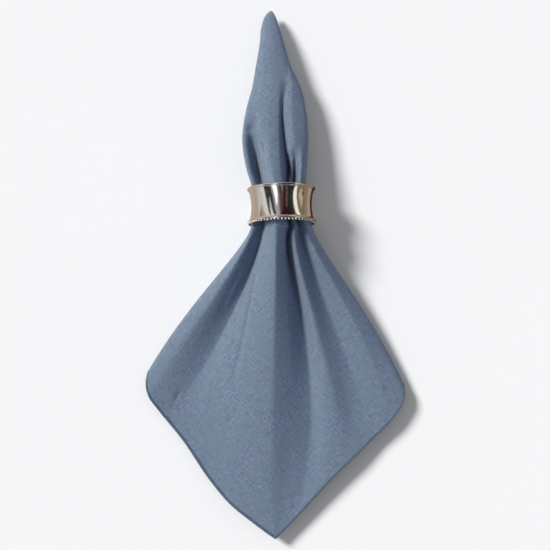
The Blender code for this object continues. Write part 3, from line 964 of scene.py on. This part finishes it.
class NAPKIN_OT_cloth(bpy.types.Operator):
    """Adds the folded napkin with its rolled hem and the hem's stitches"""

    bl_idname = "napkin.cloth"
    bl_label = "Napkin"
    bl_options = {"REGISTER", "UNDO"}

    def execute(self, context):
        settings = context.scene.napkin
        grid = pressed(cloth_rows())
        if not np.isfinite(grid).all():
            raise ValueError("the cloth's rows hold a value that isn't a number")
        linen = dyed_linen("Dyed linen, plain weave", settings.colour, settings.thread_pitch, WEAVE_DEPTH)
        cloth = sheet_piece("napkin_cloth", grid, flat_cloth(grid), linen)
        thickness = cloth.modifiers.new("Cloth thickness", "SOLIDIFY")
        thickness.thickness = settings.thickness
        thickness.offset = 0.0
        # the hem's darker colour is painted shade of the rolled edge
        hem = dyed_linen("Dyed linen, rolled hem", settings.hem_colour, settings.thread_pitch, HEM_DEPTH)
        rings, at, widths, edge, inner, up = hem_rings(grid)
        rolled = tube_piece("napkin_hem", rings, at, hem)
        parts = []
        for place in np.arange(STITCH_MARGIN, at[-1] - STITCH_MARGIN, STITCH_PITCH):
            nearest = int(np.argmin(np.abs(at - place)))
            beside = min(nearest + 1, len(at) - 1)
            along = Vector(edge[beside] - edge[beside - 1]).normalized()
            inset = inner[nearest] * (widths[nearest] + STITCH_INSET)
            parts.append(stitch(Vector(edge[nearest] + inset + up[nearest] * STITCH_LIFT), along))
        # dark thread: partly its own colour, partly painted shade of the gap beside the hem
        thread = sewing_thread("Twisted cotton thread", linear(THREAD_AND_SHADE_COLOUR)[:3])
        stitches = joined("hem_stitches", parts, thread)
        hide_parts("napkin")
        return {"FINISHED"}


class NAPKIN_OT_ring(bpy.types.Operator):
    """Adds the waisted silver ring with its rolled rim and its beaded rim"""

    bl_idname = "napkin.ring"
    bl_label = "Ring"
    bl_options = {"REGISTER", "UNDO"}

    def execute(self, context):
        settings = context.scene.napkin_ring
        silver = polished_silver("Silver plate, buffed", settings.colour, settings.roughness)
        profile = ring_profile()
        points = []
        for step in range(RING_STEPS):
            turn = 2 * math.pi * step / RING_STEPS
            for radius, height in profile:
                down = min(radius * math.sin(turn), AXIS_HEIGHT)  # the small flat that it rests on
                points.append((radius * math.cos(turn), down, height))
        ring = smooth_piece("silver_ring", points, loop_faces(RING_STEPS, len(profile), True), silver)
        ring.matrix_world = ring_place()
        beads = []
        centre = AXIS_HEIGHT - BEAD_RADIUS
        height = BEAD_RADIUS - RING_LENGTH / 2
        for number in range(settings.beads):
            turn = 2 * math.pi * (number + 0.5) / settings.beads
            beads.append(bead(Vector((centre * math.cos(turn), centre * math.sin(turn), height))))
        dull = settings.roughness * BEADS_DULLER
        struck = polished_silver("Silver plate, struck beads", settings.colour, dull)
        beading = joined("ring_beads", beads, struck)
        beading.matrix_world = ring_place()
        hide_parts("ring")
        return {"FINISHED"}


def add_card(scene, card, rows):
    """A card of rows of points, in millimetres, that only reflections see."""
    name = card.name.replace(" ", "_").replace("'", "") + "_card"
    across = len(rows[0])
    faces = []
    for row in range(len(rows) - 1):
        for corner in range(row * across, (row + 1) * across - 1):
            faces.append((corner, corner + 1, corner + across + 1, corner + across))
    mesh = bpy.data.meshes.new(name)
    mesh.from_pydata([point * MM for row in rows for point in row], [], faces)
    mesh.materials.append(painted_reflection_card(name, card.colour, card.strength))
    piece = bpy.data.objects.new(name, mesh)
    scene.collection.objects.link(piece)
    for kind in ("camera", "diffuse", "transmission", "volume_scatter", "shadow"):
        setattr(piece, f"visible_{kind}", False)
    piece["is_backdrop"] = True


class NAPKIN_OT_stage(bpy.types.Operator):
    """Adds the table, the cards that silver reflects, the lights and the camera"""

    bl_idname = "napkin.stage"
    bl_label = "Stage"
    bl_options = {"REGISTER", "UNDO"}

    def execute(self, context):
        scene = context.scene
        settings = scene.napkin_stage
        table = bpy.data.meshes.new("table")
        corners = [(x * TABLE_REACH, y * TABLE_REACH, 0) for x, y in ((-1, -1), (1, -1), (1, 1), (-1, 1))]
        table.from_pydata(corners, [], [(0, 1, 2, 3)])
        table.materials.append(matt_table("Matt white paper", settings.table_colour))
        floor = bpy.data.objects.new("table", table)
        scene.collection.objects.link(floor)
        floor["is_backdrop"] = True
        self.add_cards(scene)
        self.add_lights(scene, settings, floor)
        world = bpy.data.worlds.new("Studio")
        scene.world = world
        world.use_nodes = True
        world.node_tree.nodes["Background"].inputs["Color"].default_value = linear(WORLD_COLOUR)
        world.node_tree.nodes["Background"].inputs["Strength"].default_value = settings.fill
        self.add_camera(scene)
        scene.view_settings.view_transform = "Standard"
        return {"FINISHED"}

    def add_cards(self, scene):
        """The cards stand on an arch along the ring, and the strips lie on both sides of it."""
        middle = Vector((RING_X, RING_Y, RIM_RADIUS))
        for number, card in enumerate(CARDS):
            away = CARD_AWAY - number * CARD_STEP
            rows = []
            for place in np.linspace(card.low, card.high, CARD_ROWS):
                centre = (card.start + card.end) / 2 + card.lean * place + card.bow * place * place
                half = max((card.end - card.start) / 2 + card.flare * place, 0.0)
                row = []
                for turn in np.radians(np.linspace(centre - half, centre + half, CARD_COLUMNS)):
                    outwards = Vector((math.sin(turn), 0.0, math.cos(turn))) * away
                    row.append(middle + outwards + Vector((0.0, place * CARD_REACH, 0.0)))
                rows.append(row)
            add_card(scene, card, rows)
        for strip in STRIPS:
            rows = []
            for along in (-STRIP_REACH, STRIP_REACH):
                rows.append([
                    Vector((RING_X + strip.side * away, RING_Y + along, STRIP_HEIGHT))
                    for away in (strip.near, strip.far)
                ])
            add_card(scene, strip, rows)

    def add_lights(self, scene, settings, floor):
        """A soft window at the upper left, which lights every piece but the ring's body, and a faint blue sky
        that lights the pieces but not the table."""
        lit = {
            "window_light": [floor, *(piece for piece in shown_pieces() if piece.name != "silver_ring")],
            "sky_fill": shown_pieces(),
        }
        for lamp in LAMPS:
            light = bpy.data.lights.new(lamp.name, "SUN")
            light.energy = getattr(settings, lamp.setting)
            light.angle = math.radians(lamp.spread)
            light.color = linear(lamp.colour)[:3]
            piece = bpy.data.objects.new(lamp.name, light)
            piece.rotation_euler = Vector(lamp.towards).to_track_quat("Z", "Y").to_euler()
            scene.collection.objects.link(piece)
            group = bpy.data.collections.new(f"{lamp.name}_lights")
            for receiver in lit[lamp.name]:
                group.objects.link(receiver)
            piece.light_linking.receiver_collection = group

    def add_camera(self, scene):
        """The camera looks down from a little below the napkin's middle."""
        back = Vector((0.0, -math.cos(CAMERA_HEIGHT), math.sin(CAMERA_HEIGHT)))
        right = Vector((1.0, 0.0, 0.0))
        turned = Matrix((right, back.cross(right), back)).transposed().to_4x4()
        turned.translation = (Vector(AIM) + back * CAMERA_AWAY) * MM
        data = bpy.data.cameras.new("camera")
        data.sensor_width = SENSOR
        data.lens = SENSOR * CAMERA_AWAY / FRAME_WIDTH
        camera = bpy.data.objects.new("camera", data)
        camera.matrix_world = turned
        scene.collection.objects.link(camera)
        scene.camera = camera


class NAPKIN_PT_sidebar(bpy.types.Panel):
    """Lists the napkin's operators and settings"""

    bl_label = "Napkin"
    bl_space_type = "VIEW_3D"
    bl_region_type = "UI"
    bl_category = "Napkin"

    def draw(self, context):
        for operator, settings in PIECES:
            self.layout.operator(operator.bl_idname)
            group = getattr(context.scene, settings)
            for name in group.__annotations__:
                self.layout.prop(group, name)


PIECES = (
    (NAPKIN_OT_cloth, "napkin"),
    (NAPKIN_OT_ring, "napkin_ring"),
    (NAPKIN_OT_stage, "napkin_stage"),
)
GROUPS = {"napkin": NapkinSettings, "napkin_ring": RingSettings, "napkin_stage": StageSettings}
CLASSES = (*GROUPS.values(), *(operator for operator, _ in PIECES), NAPKIN_PT_sidebar)


def register():
    """Adds the classes and their settings to Blender."""
    for each in CLASSES:
        bpy.utils.register_class(each)
    for name, group in GROUPS.items():
        setattr(bpy.types.Scene, name, PointerProperty(type=group))


def unregister():
    """Takes the classes and their settings out again."""
    for name in GROUPS:
        delattr(bpy.types.Scene, name)
    for each in reversed(CLASSES):
        bpy.utils.unregister_class(each)


def main():
    """Makes every piece in order."""
    register()
    bpy.ops.napkin.ring()
    bpy.ops.napkin.cloth()
    bpy.ops.napkin.stage()


if __name__ == "__main__":
    main()
